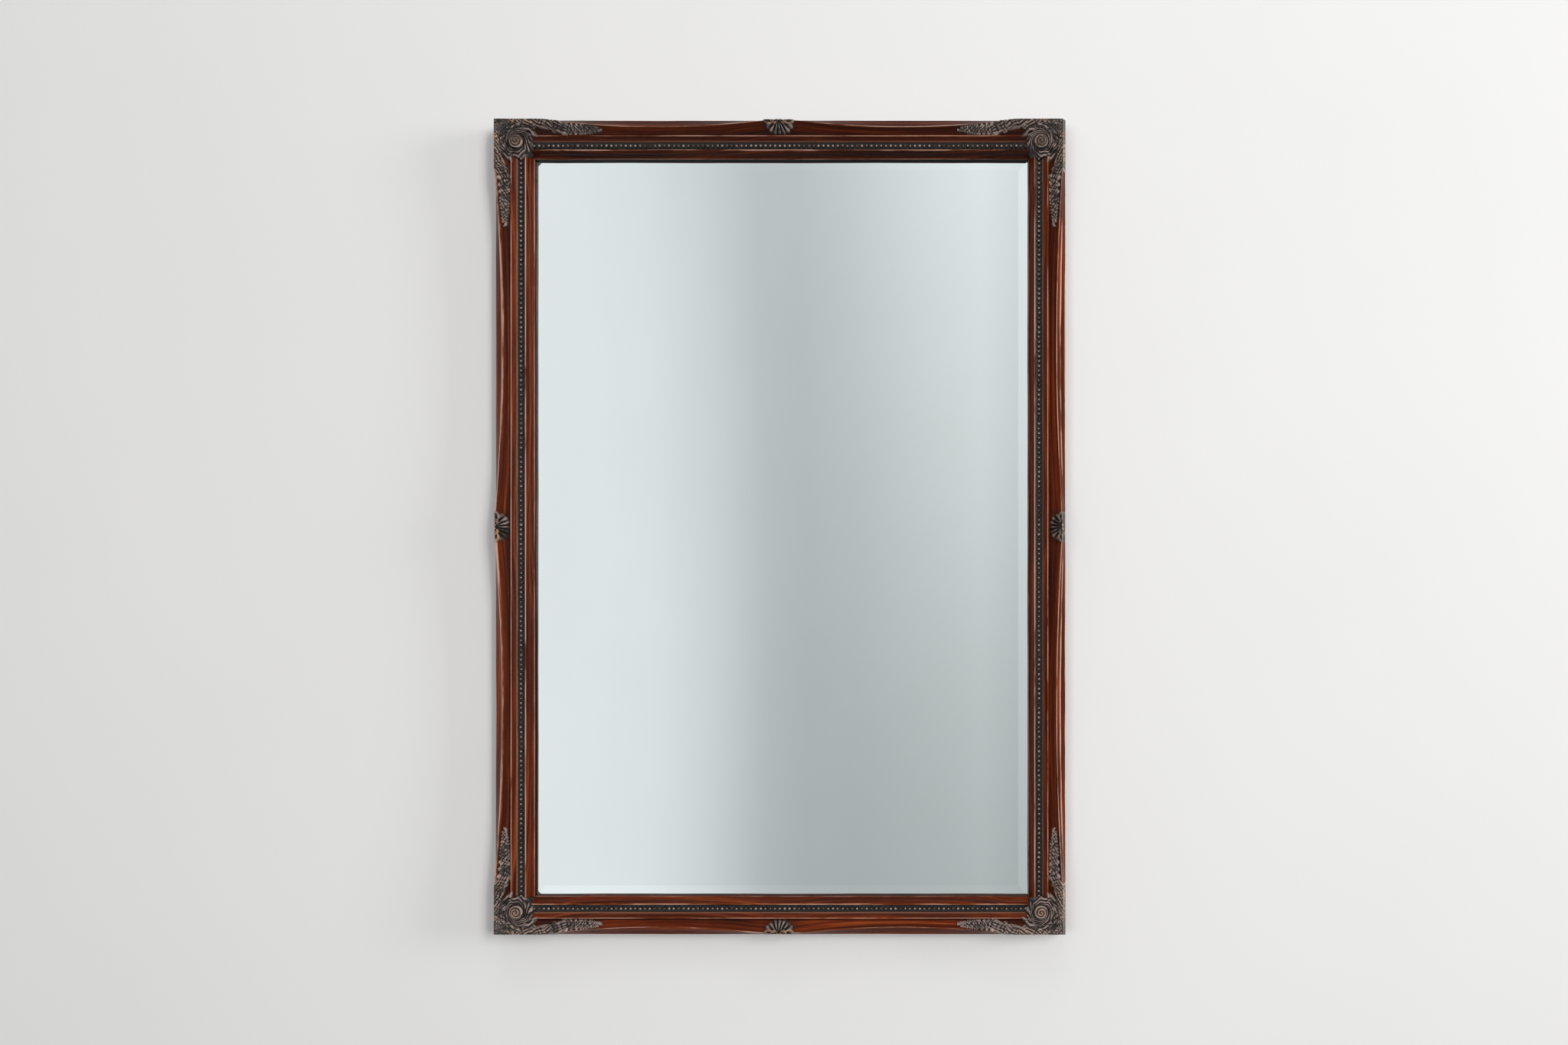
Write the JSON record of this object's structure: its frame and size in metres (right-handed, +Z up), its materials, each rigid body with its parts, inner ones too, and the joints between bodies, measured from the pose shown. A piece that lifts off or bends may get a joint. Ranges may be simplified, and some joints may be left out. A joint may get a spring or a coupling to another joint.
{
  "type": "wall mirror",
  "caption": "Rectangular wall mirror: bevelled glass in a dark stained, swept wood frame with carved corner leaves, rosettes, shells and pearl beading, hung on swinging D-rings.",
  "frame": {"origin": "middle of the flat back, where the backing board lies flush with the back of the frame", "axes": "+X to the right seen from the front, +Y out of the back towards the wall, +Z up; the glass faces -Y"},
  "size_m": [0.7, 0.0426, 1],
  "materials": {
    "frame_wood": "dark mahogany stain under gloss varnish, rubbed to red-brown on the edges",
    "carving": "dark bronze-grey wash, rubbed to copper on the high points",
    "bead_strip": "dark grey-brown wash with light tops",
    "mirror_glass": "silvered plate with a polished bevel",
    "setting_block": "matt",
    "backing_board": "plain hardboard",
    "zinc_steel": "zinc plated",
    "bumper_rubber": "matt"
  },
  "bodies": {
    "frame": {"top_rail": "frame_wood", "bottom_rail": "frame_wood", "left_stile": "frame_wood", "right_stile": "frame_wood", "top_bead_strip": "bead_strip", "top_shell": "carving", "bottom_bead_strip": "bead_strip", "bottom_shell": "carving", "left_bead_strip": "bead_strip", "left_shell": "carving", "right_bead_strip": "bead_strip", "right_shell": "carving", "top_left_leaf": "carving", "top_left_rosette": "carving", "top_right_leaf": "carving", "top_right_rosette": "carving", "bottom_left_leaf": "carving", "bottom_left_rosette": "carving", "bottom_right_leaf": "carving", "bottom_right_rosette": "carving", "mirror_glass": "mirror_glass", "setting_blocks": "setting_block", "backing_board": "backing_board", "backing_screws": "zinc_steel", "mitre_nails": "zinc_steel", "left_hanger_strap": "zinc_steel", "right_hanger_strap": "zinc_steel", "hanger_screws": "zinc_steel", "wall_bumpers": "bumper_rubber"},
    "left_ring": {"left_hanger_ring": "zinc_steel"},
    "right_ring": {"right_hanger_ring": "zinc_steel"}
  },
  "joints": [
    {"name": "left_ring_swing", "type": "hinge", "parent": "frame", "child": "left_ring", "pos_m": [-0.335, 0.00256, 0.3], "axis": [1, 0, 0], "range_deg": [0, 174]},
    {"name": "right_ring_swing", "type": "hinge", "parent": "frame", "child": "right_ring", "pos_m": [0.335, 0.00256, 0.3], "axis": [1, 0, 0], "range_deg": [0, 174]}
  ]
}
